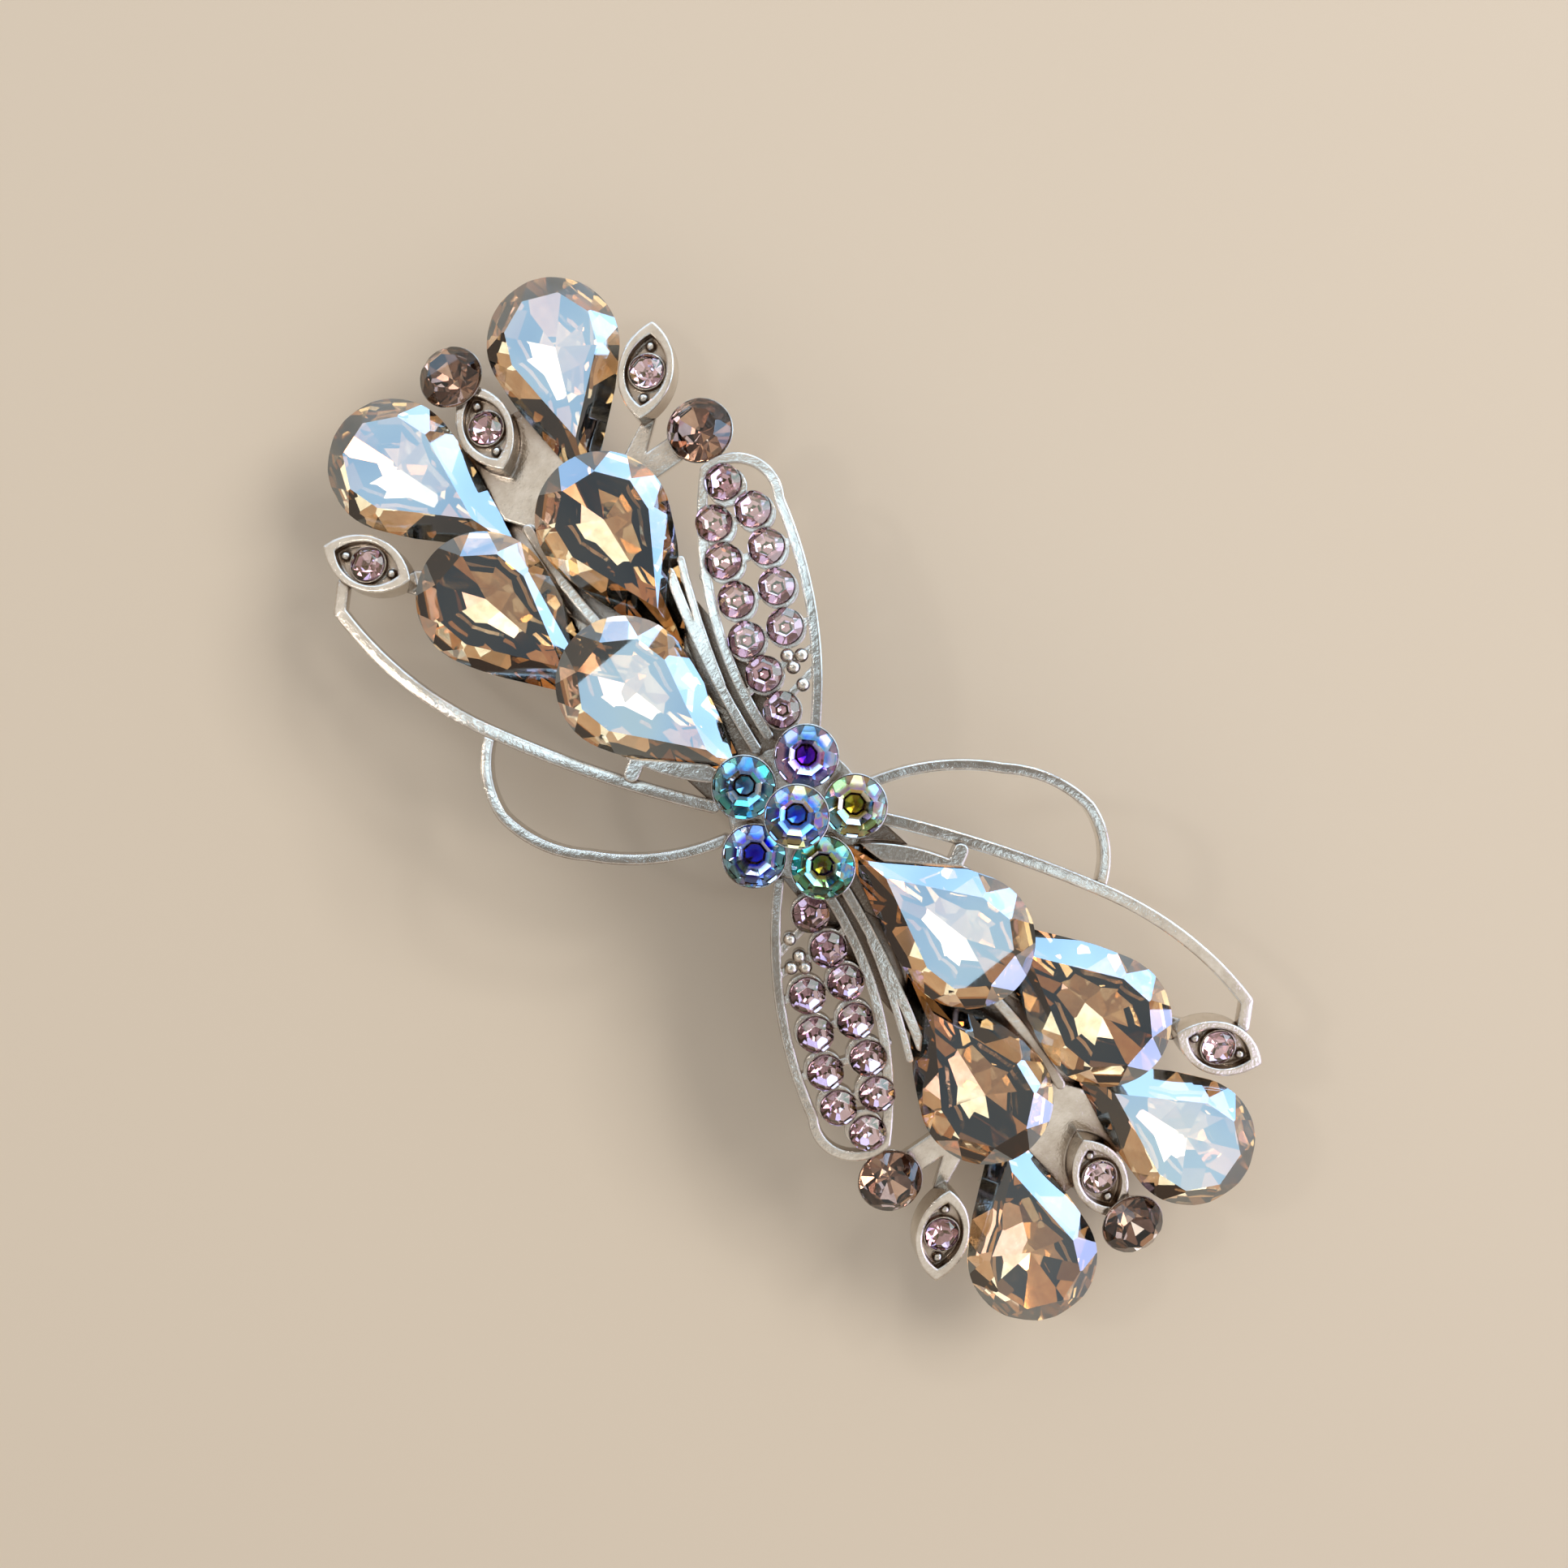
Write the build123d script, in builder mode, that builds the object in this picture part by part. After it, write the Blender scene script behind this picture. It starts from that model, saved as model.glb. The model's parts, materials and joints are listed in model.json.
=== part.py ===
"""Rhinestone hair clip: two leaf-and-stone sprays about a flower, on a hinged spring clip.

Frame: millimetres, +Z up, +X along the clip towards its clasp. The origin is under the flower's
centre, on the surface that the closed locking arm lies on. The right spray and its exact half turn
about Z, the left spray, make the ornament.
"""

from build123d import *
import math
import os

# ---------------------------------------------------------------- clip, under the ornament
ARCH_RADIUS = 90.0  # curve of the base bar's upper face, and of every layer on it
BAR_TOP = 10.6  # upper face of the base bar at its middle
BAR_HALF_LENGTH = 29.5
BAR_WIDTH = 6.4
BAR_THICKNESS = 0.7

HINGE_X = -27.6
HINGE_Z = 1.5
PIN_RADIUS = 0.6
PIN_CLEARANCE = 0.05  # radial, arm barrel on pin
BARREL_RADIUS = 1.25
BARREL_HALF_WIDTH = 2.35
EAR_RADIUS = 1.3
EAR_INNER = 2.45
EAR_THICKNESS = 0.7
EAR_TOP = 6.0  # inside the base bar's thickness
PIN_HEAD_RADIUS = 0.95
PIN_HEAD = 0.35
PIN_FIT = 0.02  # radial, ears on pin, and between pin heads and ears

ARM_THICKNESS = 0.8
ARM_WIDTH = 5.6
ARM_LIP_TOP = 1.5
ARM_LIP = 0.5
ARM_START = -25.6  # where the arm widens, clear of the hinge ears
ARM_END = 22.4
WINDOW_LENGTH = 38.0
WINDOW_WIDTH = 2.4
HEAD_START = 25.6
HEAD_END = 29.2
HEAD_BOTTOM = 1.1
HEAD_WIDTH = 6.0
NECK_WIDTH = 3.4

BOW_THICKNESS = 0.35
BOW_WIDTH = 4.0
BOW_END_X = 23.0
BOW_END_Z = 6.4
BOW_MIDDLE_Z = 6.0
BOW_CORNER = 1.2
RIVET_X = 21.0
RIVET_RADIUS = 0.6
RIVET_HEAD_RADIUS = 1.0
RIVET_HEAD = 0.3
RIVET_LENGTH = 1.3
CLASP_RIVET_RADIUS = 0.7
CLASP_RIVET_HEAD_RADIUS = 1.2
CLASP_RIVET_HEAD = 0.4
CLASP_RIVET_LENGTH = 2.0

CLASP_START = 25.6
CLASP_END = 29.4
CLASP_SHEET = 0.6
FLANGE_BOTTOM = 3.3
CHEEK_GAP = 0.1  # between the clasp's flange and its cheek
CHEEK_INSET = 0.3  # how much shorter a cheek is than the flange, at each end
CHEEK_BOTTOM = 0.25
CHEEK_BEAD = 0.38  # bead pressed along the line that a cheek bends about
CHEEK_EAR = [(5.75, 4.5), (6.05, 3.95)]  # end of the finger ear: how far out, and height
HOOK_REACH = 2.5  # the hooks' inner edges, each side of the middle
HOOK_TOP = 0.9

# ---------------------------------------------------------------- stones
GIRDLE = 0.12  # half the height of a stone's straight edge
SEAT_GAP = 0.04  # between a stone and the metal around it

TEARDROP_RADIUS = 4.0
TEARDROP_TIP = 9.0  # from the round end's centre to the point
TEARDROP_CROWN = 1.2
TEARDROP_PAVILION = 2.2
TEARDROP_SHOULDER = 108.0  # where the round end runs into the sides, from the long axis

PETAL_STONE_RADIUS = 1.8
SMOKY_STONE_RADIUS = 1.9
WING_STONE_RADIUS = 1.06
WING_BEAD_RADIUS = 0.42
LEAF_STONE_RADIUS = 1.02

# ---------------------------------------------------------------- ornament
CUP_RIM = 0.1  # how far a round stone's cup stands out past it
CUP_DEPTH = 1.7  # from the girdle down to the cup's foot
CUP_FOOT = 1.0
PETAL_COUNT = 5
PETAL_RING = 3.43
PETAL_START_ANGLE = 59.7
PETAL_Z = 14.4
CENTRE_Z = 15.9
HUB_RADIUS = 4.0
HUB_BOTTOM = 11.55
HUB_TOP = 11.9
POST_RADIUS = 0.5

WEB_TOP = 0.9  # the spray's flat backing, above the bar's upper face
WIRE_BOTTOM = 0.9
WIRE_TOP = 1.9
WIRE_WIDTH = 0.75
LOOP_BOTTOM = 0.2
LOOP_WIDTH = 0.62
WING_WIRE_WIDTH = 0.6
WING_CUP_RIM = 0.12
WING_ROW_BAR = 0.56
WING_LINK_WIDTH = 0.48
WING_BOTTOM = 0.9
WING_TOP = 2.0
TRAY_INSET = 0.4  # how far a tray's lip stays in under its stone's edge
TRAY_LIP = 0.6  # lip of a tray, below the girdle's middle
TRAY_DEPTH = 2.75
TRAY_FOOT = (1.2, 1.7)  # radius and tip of a tray's small lower face
LEAF_BOTTOM = 0.8
LEAF_LENGTH = 6.1
LEAF_WIDTH = 3.4
LEAF_HEIGHT = 1.4
LEAF_RIM = 0.42
LEAF_POCKET = 0.6
LEAF_POCKET_END = 2.25
LEAF_BEAD_X = 1.62
LEAF_BEAD_RADIUS = 0.32

# Teardrops of the right spray: centre of the round end, height of the girdle, heading of the round
# end from +X, and how far that end is tipped up. Each lies over the points of those beyond it.
TEARDROPS = {
    "inner": (12.15, 3.1, 12.9, 13.0, 4.0),
    "mid_wing": (20.5, -1.9, 11.2, -7.0, 4.0),
    "mid_wire": (21.25, 6.5, 11.2, 10.6, 4.0),
    "end_wing": (30.9, -6.1, 7.6, -24.5, -4.0),
    "end_wire": (31.3, 6.0, 7.6, 17.4, -4.0),
}
# Round smoky stones: centre and height of the girdle.
SMOKY_STONES = {"end": (33.4, 0.0, 6.9), "wing": (21.15, -9.65, 10.0)}
# Marquise leaves, each with a small round stone: centre and heading of the leaf.
LEAVES = {"wing": (25.4, -9.4, -43.5), "middle": (28.9, 0.25, -12.5), "wire": (27.0, 10.9, 28.0)}
# Stones in the wing, row by row from the flower outwards.
WING_INNER_ROW = [(5.15, -3.1), (7.4, -3.6), (9.55, -4.05), (11.7, -5.05), (13.9, -5.9), (15.95, -6.85)]
WING_OUTER_ROW = [(8.75, -6.3), (10.85, -7.4), (13.0, -8.4), (15.15, -9.15), (17.45, -8.8)]
# Cast beads between the wing's stones, near the flower.
WING_BEADS = [(6.75, -5.2), (7.5, -5.35), (7.0, -6.0), (5.6, -5.0)]
# Bars that join the wing's cups to each other and to its wire.
WING_LINKS = [
    ((9.55, -4.05), (8.75, -6.3)),
    ((11.7, -5.05), (10.85, -7.4)),
    ((13.9, -5.9), (13.0, -8.4)),
    ((15.95, -6.85), (15.15, -9.15)),
    ((15.95, -6.85), (17.45, -8.8)),
    ((10.0, -2.9), (9.55, -4.05)),
    ((14.2, -4.4), (13.9, -5.9)),
    ((8.75, -6.3), (8.2, -7.8)),
    ((13.0, -8.4), (12.5, -10.0)),
    ((17.45, -8.8), (19.0, -9.2)),
    ((7.4, -3.6), (6.9, -6.9)),
    ((5.5, -3.4), (5.9, -6.2)),
    ((5.0, -2.6), (5.2, -1.7)),
    ((7.4, -3.6), (7.2, -2.0)),
]

# Routes of the wires in plan: arcs by their start, middle and end.
WING_WIRE = [
    ((2.6, -3.4), (8.3, -7.9), (15.0, -10.75)),
    ((15.0, -10.75), (18.3, -10.5), (19.05, -8.4)),
    ((19.05, -8.4), (12.9, -3.9), (4.6, -1.55)),
]
OUTER_WIRE = [
    ((3.3, 3.6), (8.8, 7.55), (14.5, 10.9)),
    ((14.5, 10.9), (20.2, 13.2), (26.4, 14.0)),
]
OUTER_WIRE_END = (27.6, 12.85)
SMALL_LOOP = [
    ((1.35, 4.3), (2.95, 8.0), (5.6, 11.1)),
    ((5.6, 11.1), (7.9, 12.9), (10.6, 13.7)),
    ((10.6, 13.7), (13.0, 13.0), (14.9, 11.2)),
]
# Raised ribs beside the teardrops: arc, and half its width.
RIBS = [
    (((4.4, -0.5), (9.8, -1.4), (15.6, -3.0)), 0.3),
    (((8.6, -1.3), (12.2, -2.5), (15.8, -4.0)), 0.22),
    (((14.0, 2.0), (18.5, 2.3), (23.0, 2.0)), 0.3),
]
# Limbs of the flat backing in plan: start, its radius, end, its radius.
LIMBS = [
    ((0, 0), 3.0, TEARDROPS["inner"][:2], 1.8),
    ((9.0, 0.6), 0.9, TEARDROPS["mid_wing"][:2], 2.0),
    (TEARDROPS["inner"][:2], 1.8, TEARDROPS["mid_wire"][:2], 1.8),
    (TEARDROPS["mid_wing"][:2], 2.0, LEAVES["middle"][:2], 1.8),
    ((24.5, 0.2), 2.2, TEARDROPS["end_wing"][:2], 1.2),
    ((24.5, 0.2), 2.2, TEARDROPS["end_wire"][:2], 1.2),
    (LEAVES["middle"][:2], 1.0, SMOKY_STONES["end"][:2], 0.8),
    ((21.5, -5.0), 0.8, SMOKY_STONES["wing"][:2], 0.8),
    ((21.5, -4.0), 0.8, (23.7, -7.8), 0.35),
    ((22.5, 7.0), 1.2, (25.6, 10.0), 0.6),
]

os.makedirs("parts", exist_ok=True)


def save(piece, name):
    """Label a finished sub-part and write it as one STEP."""
    piece.part.label = name
    export_step(piece.part, f"parts/{name}.step")


def arch_z(x):
    """Height of the base bar's upper face at x."""
    return BAR_TOP - ARCH_RADIUS + math.sqrt(ARCH_RADIUS**2 - x**2)


def tipped_plane(x, y, z, heading, lift):
    """Plane at a point, its X along the heading and raised by lift degrees."""
    along = Vector(1, 0, 0).rotate(Axis.Y, -lift).rotate(Axis.Z, heading)
    up = Vector(0, 0, 1).rotate(Axis.Y, -lift).rotate(Axis.Z, heading)
    return Plane(origin=(x, y, z), x_dir=along, z_dir=up)


def arch_plane(x, y, height, heading=0.0):
    """Plane lying on the arch at (x, y), a height above the bar's upper face."""
    up = Vector(x / ARCH_RADIUS, 0, math.sqrt(1 - (x / ARCH_RADIUS) ** 2))
    along = Vector(1, 0, 0).rotate(Axis.Z, heading)
    along = along - up * along.dot(up)
    return Plane(origin=Vector(x, y, arch_z(x)) + up * height, x_dir=along, z_dir=up)


def arch_layer(low, high):
    """The arched layer between two heights above the bar's upper face."""
    with BuildPart() as layer:
        with BuildSketch(Plane.XZ):
            with Locations((0, BAR_TOP - ARCH_RADIUS)):
                Circle(ARCH_RADIUS + high)
                Circle(ARCH_RADIUS + low, mode=Mode.SUBTRACT)
        extrude(amount=20, both=True)
    return layer.part


# ---------------------------------------------------------------- cut stones


def pear(radius, tip):
    """Outline of a pear: a round end about the origin and two bowed sides to a point at -X."""
    shoulder = math.radians(TEARDROP_SHOULDER)
    start = (radius * math.cos(shoulder), radius * math.sin(shoulder))
    heading = (-math.sin(shoulder), math.cos(shoulder))
    with BuildSketch() as outline:
        with BuildLine():
            CenterArc((0, 0), radius, -TEARDROP_SHOULDER, 2 * TEARDROP_SHOULDER)
            TangentArc(start, (-tip, 0), tangent=heading)
            TangentArc((start[0], -start[1]), (-tip, 0), tangent=(heading[0], -heading[1]))
        make_face()
    return outline.sketch


def slice_facet(angle, inner, inner_height, outer, outer_height, grow):
    """Slice the stone along one sloping facet, which runs from its inner to its outer edge."""
    rise = abs(inner_height - outer_height)
    side = math.copysign(1, inner_height)
    direction = Vector(1, 0, 0).rotate(Axis.Z, angle)
    normal = (direction * rise + Vector(0, 0, side * (outer - inner))).normalized()
    corner = direction * outer + Vector(0, 0, outer_height) + normal * grow
    split(bisect_by=Plane(origin=corner, z_dir=normal), keep=Keep.BOTTOM)


def teardrop_stone(grow=0.0):
    """Pear-cut stone, 8 mm by 13 mm, on its girdle plane; grow makes the room it needs in a seat."""
    table = TEARDROP_CROWN + GIRDLE
    culet = TEARDROP_PAVILION + GIRDLE
    with BuildPart() as stone:
        with BuildSketch(Plane.XY.offset(-culet - grow)):
            add(pear(TEARDROP_RADIUS + grow, TEARDROP_TIP + 2 * grow))
        extrude(amount=table + culet + 2 * grow)
        for angle in (0, 46, -46, 89, -89):
            slice_facet(angle, 2.6, table, 4.0, GIRDLE, grow)
            slice_facet(angle, 0.0, -culet, 4.0, -GIRDLE, grow)
        for angle in (117, -117):
            slice_facet(angle, 2.75, table, 4.07, GIRDLE, grow)
            slice_facet(angle, 0.0, -culet, 4.07, -GIRDLE, grow)
        for angle in (23, -23, 67, -67, 103, -103):
            slice_facet(angle, 2.84, table, 3.9, GIRDLE, grow)
    return stone.part


def round_stone(radius, facets, grow=0.0):
    """Round brilliant on its girdle plane, with a ring of crown kites and their break facets."""
    table = 0.4 * radius + GIRDLE
    culet = 0.72 * radius + GIRDLE
    step = 360 / facets
    with BuildPart() as stone:
        with BuildSketch(Plane.XY.offset(-culet - grow)):
            Circle(radius + grow)
        extrude(amount=table + culet + 2 * grow)
        for number in range(facets):
            slice_facet(number * step, 0.56 * radius, table, radius, GIRDLE, grow)
            slice_facet(number * step, 0.0, -culet, radius, -GIRDLE, grow)
            slice_facet((number + 0.5) * step, 0.64 * radius, table, 0.98 * radius, GIRDLE, grow)
    return stone.part


teardrop = teardrop_stone()
teardrop_seat = teardrop_stone(SEAT_GAP)
petal_stone = round_stone(PETAL_STONE_RADIUS, 8)
petal_seat = round_stone(PETAL_STONE_RADIUS, 8, SEAT_GAP)
smoky_stone = round_stone(SMOKY_STONE_RADIUS, 8)
smoky_seat = round_stone(SMOKY_STONE_RADIUS, 8, SEAT_GAP)
wing_stone = round_stone(WING_STONE_RADIUS, 6)
wing_seat = round_stone(WING_STONE_RADIUS, 6, SEAT_GAP)
leaf_stone = round_stone(LEAF_STONE_RADIUS, 6)
leaf_seat = round_stone(LEAF_STONE_RADIUS, 6, SEAT_GAP)

teardrop_places = {name: tipped_plane(*place) for name, place in TEARDROPS.items()}
smoky_places = {
    name: tipped_plane(x, y, z, 0, -math.degrees(math.asin(x / ARCH_RADIUS)))
    for name, (x, y, z) in SMOKY_STONES.items()
}
leaf_places = {
    name: arch_plane(x, y, LEAF_BOTTOM, heading) for name, (x, y, heading) in LEAVES.items()
}
leaf_stone_places = {name: place.offset(LEAF_HEIGHT - 0.2) for name, place in leaf_places.items()}
wing_rows = {
    "inner_row": [arch_plane(x, y, WING_TOP + 0.05) for x, y in WING_INNER_ROW],
    "outer_row": [arch_plane(x, y, WING_TOP + 0.05) for x, y in WING_OUTER_ROW],
}


def save_stones(name, stone, places, half_turn):
    """Write stones, one at each place, turned half a turn about Z for the left spray."""
    with BuildPart() as stones:
        with Locations(*places):
            add(stone)
    if half_turn:
        with BuildPart() as turned:
            add(stones.part.rotate(Axis.Z, 180))
        save(turned, name)
    else:
        save(stones, name)


for side, half_turn in (("right", False), ("left", True)):
    for name, place in teardrop_places.items():
        save_stones(f"teardrop_{side}_{name}", teardrop, [place], half_turn)
    for name, place in smoky_places.items():
        save_stones(f"smoky_stone_{side}_{name}", smoky_stone, [place], half_turn)
    for name, place in leaf_stone_places.items():
        save_stones(f"leaf_stone_{side}_{name}", leaf_stone, [place], half_turn)
    for name, places in wing_rows.items():
        save_stones(f"wing_stones_{side}_{name}", wing_stone, places, half_turn)

petal_angles = [PETAL_START_ANGLE + number * 360 / PETAL_COUNT for number in range(PETAL_COUNT)]
petal_points = [Vector(PETAL_RING, 0, PETAL_Z).rotate(Axis.Z, angle) for angle in petal_angles]
petal_places = [Plane(origin=point) for point in petal_points]
centre_place = Plane(origin=(0, 0, CENTRE_Z))
for number, place in enumerate(petal_places, start=1):
    save_stones(f"petal_stone_{number}", petal_stone, [place], False)
save_stones("flower_centre_stone", petal_stone, [centre_place], False)

# ---------------------------------------------------------------- flower setting
with BuildPart() as flower_setting:
    with BuildSketch(Plane.XY.offset(HUB_BOTTOM)):
        Circle(HUB_RADIUS)
    extrude(amount=HUB_TOP - HUB_BOTTOM)
    for point in petal_points + [Vector(0, 0, CENTRE_Z)]:
        with BuildSketch(Plane(origin=(point.X, point.Y, HUB_TOP))):
            Circle(POST_RADIUS)
        extrude(amount=point.Z - HUB_TOP - CUP_DEPTH)
        with BuildSketch(Plane(origin=(point.X, point.Y, point.Z - CUP_DEPTH))):
            Circle(CUP_FOOT)
        with BuildSketch(Plane(origin=(point.X, point.Y, point.Z - GIRDLE))):
            Circle(PETAL_STONE_RADIUS + CUP_RIM)
        loft()
    with Locations(*petal_places, centre_place):
        add(petal_seat, mode=Mode.SUBTRACT)
save(flower_setting, "flower_setting")

with BuildPart() as hub_room:
    with BuildSketch(Plane.XY.offset(HUB_BOTTOM - 0.03)):
        Circle(HUB_RADIUS + 0.02)
    extrude(amount=10)

# ---------------------------------------------------------------- right spray, cast in one piece
web_layer = arch_layer(0.01, WEB_TOP)
bar_layer = arch_layer(-BAR_THICKNESS, 0)
blade_layer = arch_layer(WIRE_BOTTOM, 2.6)
rib_layer = arch_layer(0.5, 2.2)


def limb(start, start_radius, end, end_radius):
    """A tapering limb of the spray's backing, in plan."""
    with BuildSketch() as outline:
        with Locations(start):
            Circle(start_radius)
        with Locations(end):
            Circle(end_radius)
        make_hull()
    return outline.sketch


with BuildPart() as spray_web:
    with BuildSketch():
        for start, start_radius, end, end_radius in LIMBS:
            add(limb(start, start_radius, end, end_radius))
    extrude(amount=20)
    add(web_layer, mode=Mode.INTERSECT)
    split(bisect_by=Plane.YZ.offset(0.02), keep=Keep.TOP)

with BuildPart() as spray_ribs:
    for arc, half_width in RIBS:
        with BuildSketch():
            with BuildLine():
                ThreePointArc(*arc)
                offset(amount=half_width, side=Side.BOTH)
            make_face()
    extrude(amount=20)
    add(rib_layer, mode=Mode.INTERSECT)

with BuildPart() as spray_blade:
    with BuildSketch():
        with BuildLine():
            ThreePointArc((3.7, 1.8), (6.8, 4.75), (10.3, 6.3))
            ThreePointArc((10.3, 6.3), (8.0, 3.6), (3.7, 1.8))
        make_face()
        with BuildLine():
            Line((8.4, 5.0), (7.8, 6.1))
            offset(amount=0.45, side=Side.BOTH)
        make_face()
    extrude(amount=20)
    add(blade_layer, mode=Mode.INTERSECT)

with BuildPart() as bar_room:
    with BuildSketch():
        Rectangle(2 * BAR_HALF_LENGTH + 0.1, BAR_WIDTH + 0.1)
    extrude(amount=20)
    add(bar_layer, mode=Mode.INTERSECT)

with BuildPart() as spray_right:
    add(spray_web.part)
    add(spray_ribs.part)
    add(spray_blade.part)
    for place in teardrop_places.values():
        with BuildSketch(place.offset(-TRAY_LIP)):
            add(pear(TEARDROP_RADIUS - TRAY_INSET, TEARDROP_TIP - 2 * TRAY_INSET))
        with BuildSketch(place.offset(-TRAY_DEPTH)):
            add(pear(*TRAY_FOOT))
        loft()
    for place in smoky_places.values():
        with BuildSketch(place.offset(-GIRDLE)):
            Circle(SMOKY_STONE_RADIUS + CUP_RIM)
        with BuildSketch(place.offset(-CUP_DEPTH - 0.2)):
            Circle(CUP_FOOT)
        loft()
    for place in leaf_places.values():
        with BuildSketch(place):
            with BuildLine():
                for across in (LEAF_WIDTH / 2, -LEAF_WIDTH / 2):
                    ThreePointArc((-LEAF_LENGTH / 2, 0), (0, across), (LEAF_LENGTH / 2, 0))
            make_face()
        extrude(amount=LEAF_HEIGHT)
        with BuildSketch(place.offset(LEAF_HEIGHT - LEAF_POCKET)):
            with BuildLine():
                for across in (LEAF_WIDTH / 2 - LEAF_RIM, LEAF_RIM - LEAF_WIDTH / 2):
                    ThreePointArc((-LEAF_POCKET_END, 0), (0, across), (LEAF_POCKET_END, 0))
            make_face()
        extrude(amount=LEAF_POCKET, mode=Mode.SUBTRACT)
        with BuildSketch(place.offset(LEAF_HEIGHT - LEAF_POCKET)):
            Circle(LEAF_STONE_RADIUS + 0.14)
        extrude(amount=LEAF_POCKET - 0.25)
        with Locations(place.offset(LEAF_HEIGHT - LEAF_POCKET)):
            with Locations((-LEAF_BEAD_X, 0, 0.1), (LEAF_BEAD_X, 0, 0.1)):
                Sphere(LEAF_BEAD_RADIUS)
    with Locations(*teardrop_places.values()):
        add(teardrop_seat, mode=Mode.SUBTRACT)
    with Locations(*smoky_places.values()):
        add(smoky_seat, mode=Mode.SUBTRACT)
    with Locations(*leaf_stone_places.values()):
        add(leaf_seat, mode=Mode.SUBTRACT)
    add(hub_room.part, mode=Mode.SUBTRACT)
    add(bar_room.part, mode=Mode.SUBTRACT)
save(spray_right, "spray_right")

# ---------------------------------------------------------------- right wing
wing_layer = arch_layer(WING_BOTTOM, WING_TOP)
cup_layer = arch_layer(WING_BOTTOM, WING_TOP - 0.05)

with BuildPart() as wing_wire:
    with BuildSketch():
        with BuildLine():
            for arc in WING_WIRE:
                ThreePointArc(*arc)
            offset(amount=WING_WIRE_WIDTH / 2, side=Side.BOTH)
        make_face()
    extrude(amount=20)
    add(wing_layer, mode=Mode.INTERSECT)

with BuildPart() as wing_cups:
    with BuildSketch():
        with Locations(*WING_INNER_ROW, *WING_OUTER_ROW):
            Circle(WING_STONE_RADIUS + WING_CUP_RIM)
        with Locations(*WING_BEADS):
            Circle(WING_BEAD_RADIUS)
    for row in (WING_INNER_ROW, WING_OUTER_ROW):
        with BuildSketch():
            with BuildLine():
                Polyline(*row)
                offset(amount=WING_ROW_BAR / 2, side=Side.BOTH)
            make_face()
    for link in WING_LINKS:
        with BuildSketch():
            with BuildLine():
                Line(*link)
                offset(amount=WING_LINK_WIDTH / 2, side=Side.BOTH)
            make_face()
    extrude(amount=20)
    add(cup_layer, mode=Mode.INTERSECT)

with BuildPart() as wing_right:
    add(wing_wire.part)
    add(wing_cups.part)
    for places in wing_rows.values():
        with Locations(*places):
            add(wing_seat, mode=Mode.SUBTRACT)
    add(hub_room.part, mode=Mode.SUBTRACT)
save(wing_right, "wing_right")

# ---------------------------------------------------------------- wires of the right spray
wire_layer = arch_layer(WIRE_BOTTOM, WIRE_TOP)
loop_layer = arch_layer(LOOP_BOTTOM, WIRE_TOP)

with BuildPart() as outer_wire_right:
    with BuildSketch():
        with BuildLine():
            for arc in OUTER_WIRE:
                ThreePointArc(*arc)
            Line(OUTER_WIRE[-1][2], OUTER_WIRE_END)
            offset(amount=WIRE_WIDTH / 2, side=Side.BOTH)
        make_face()
    extrude(amount=20)
    add(wire_layer, mode=Mode.INTERSECT)
    add(spray_right.part, mode=Mode.SUBTRACT)
    add(hub_room.part, mode=Mode.SUBTRACT)
save(outer_wire_right, "outer_wire_right")

with BuildPart() as small_loop_right:
    with BuildSketch():
        with BuildLine():
            for arc in SMALL_LOOP:
                ThreePointArc(*arc)
            offset(amount=LOOP_WIDTH / 2, side=Side.BOTH)
        make_face()
    extrude(amount=20)
    add(loop_layer, mode=Mode.INTERSECT)
    add(outer_wire_right.part, mode=Mode.SUBTRACT)
    add(hub_room.part, mode=Mode.SUBTRACT)
save(small_loop_right, "small_loop_right")

# ---------------------------------------------------------------- left spray, half a turn round
for name, piece in (
    ("spray_left", spray_right),
    ("wing_left", wing_right),
    ("outer_wire_left", outer_wire_right),
    ("small_loop_left", small_loop_right),
):
    with BuildPart() as turned_piece:
        add(piece.part.rotate(Axis.Z, 180))
    save(turned_piece, name)

# ---------------------------------------------------------------- tension bow and its rivets
rivet_plane = Plane.XY.offset(BOW_END_Z - RIVET_HEAD - 0.1)
with BuildPart() as bow_rivets:
    with BuildSketch(rivet_plane):
        with Locations((-RIVET_X, 0), (RIVET_X, 0)):
            Circle(RIVET_HEAD_RADIUS)
    extrude(amount=RIVET_HEAD)
    with BuildSketch(rivet_plane):
        with Locations((-RIVET_X, 0), (RIVET_X, 0)):
            Circle(RIVET_RADIUS)
    extrude(amount=RIVET_LENGTH)
save(bow_rivets, "bow_rivets")

with BuildPart() as tension_bow:
    with BuildSketch(Plane.XZ):
        with BuildLine():
            lower = ThreePointArc((-BOW_END_X, BOW_END_Z), (0, BOW_MIDDLE_Z), (BOW_END_X, BOW_END_Z))
            upper = ThreePointArc(
                (-BOW_END_X, BOW_END_Z + BOW_THICKNESS),
                (0, BOW_MIDDLE_Z + BOW_THICKNESS),
                (BOW_END_X, BOW_END_Z + BOW_THICKNESS),
            )
            Line(lower @ 0, upper @ 0)
            Line(lower @ 1, upper @ 1)
        make_face()
    extrude(amount=BOW_WIDTH / 2, both=True)
    fillet(tension_bow.edges().filter_by(Axis.Z), BOW_CORNER)
    add(bow_rivets.part, mode=Mode.SUBTRACT)
save(tension_bow, "tension_bow")

# ---------------------------------------------------------------- clasp: web, cheeks and rivet
below_bar = arch_layer(-12, -BAR_THICKNESS - 0.01)
below_web = arch_layer(-12, -BAR_THICKNESS - CLASP_SHEET)
clasp_middle = (CLASP_START + CLASP_END) / 2
clasp_length = CLASP_END - CLASP_START
clasp_rivet_foot = arch_z(clasp_middle) - BAR_THICKNESS / 2 - CLASP_RIVET_LENGTH

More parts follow.
